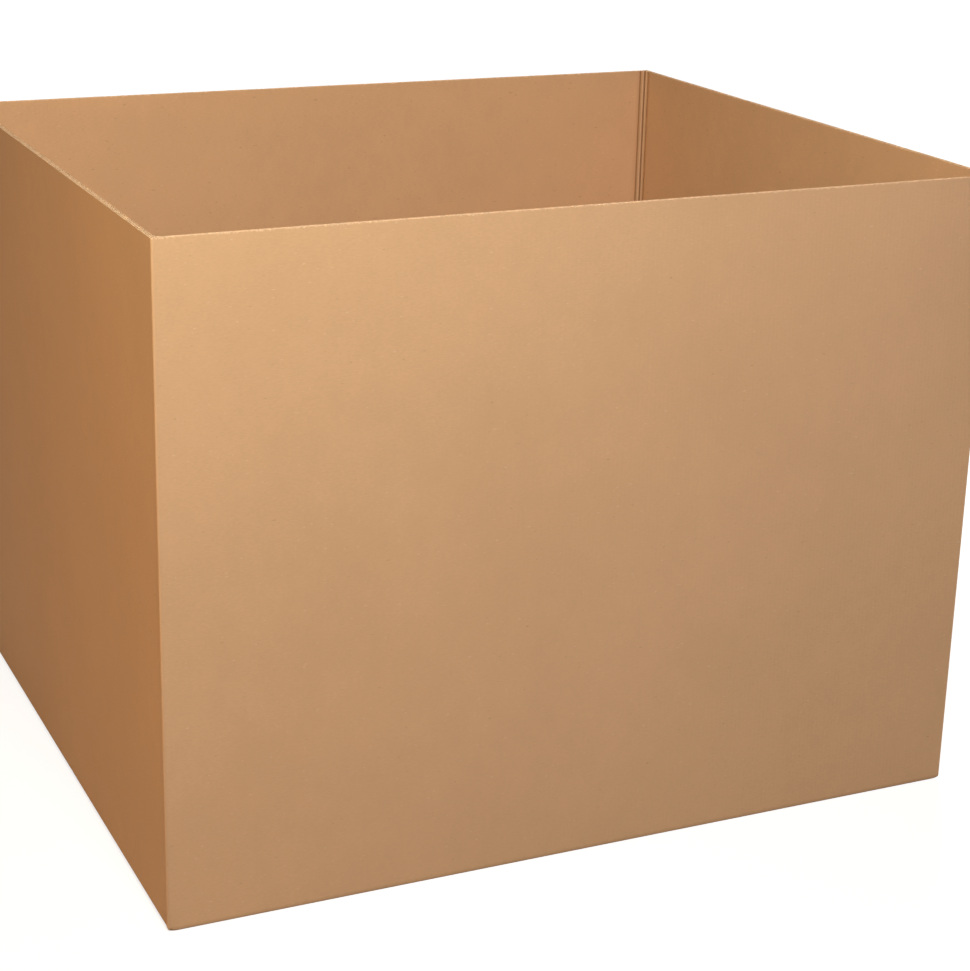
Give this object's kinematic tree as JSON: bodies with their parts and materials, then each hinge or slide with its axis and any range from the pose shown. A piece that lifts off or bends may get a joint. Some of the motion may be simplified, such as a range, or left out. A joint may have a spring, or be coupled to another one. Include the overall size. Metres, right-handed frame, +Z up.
{
  "type": "double-wall corrugated box",
  "caption": "Large open-top shipping box of double-wall corrugated board, folded from one scored sheet, with side flaps folded in and hinged bottom flaps closed over them.",
  "frame": {"origin": "on the floor under the middle of the box", "axes": "+X along the long front wall to the right, +Y from the front wall to the back wall, +Z up through the open top"},
  "size_m": [1.18, 0.985, 0.9],
  "materials": {
    "kraft_board": "matte"
  },
  "bodies": {
    "box": {"box_body": "kraft_board"},
    "front_flap": {"outer_flap_front": "kraft_board"},
    "back_flap": {"outer_flap_back": "kraft_board"}
  },
  "joints": [
    {"name": "front_flap_hinge", "type": "hinge", "parent": "box", "child": "front_flap", "pos_m": [0, -0.4925, 0], "axis": [-1, 0, 0], "range_deg": [0, 180]},
    {"name": "back_flap_hinge", "type": "hinge", "parent": "box", "child": "back_flap", "pos_m": [0, 0.4925, 0], "axis": [1, 0, 0], "range_deg": [0, 180]}
  ]
}
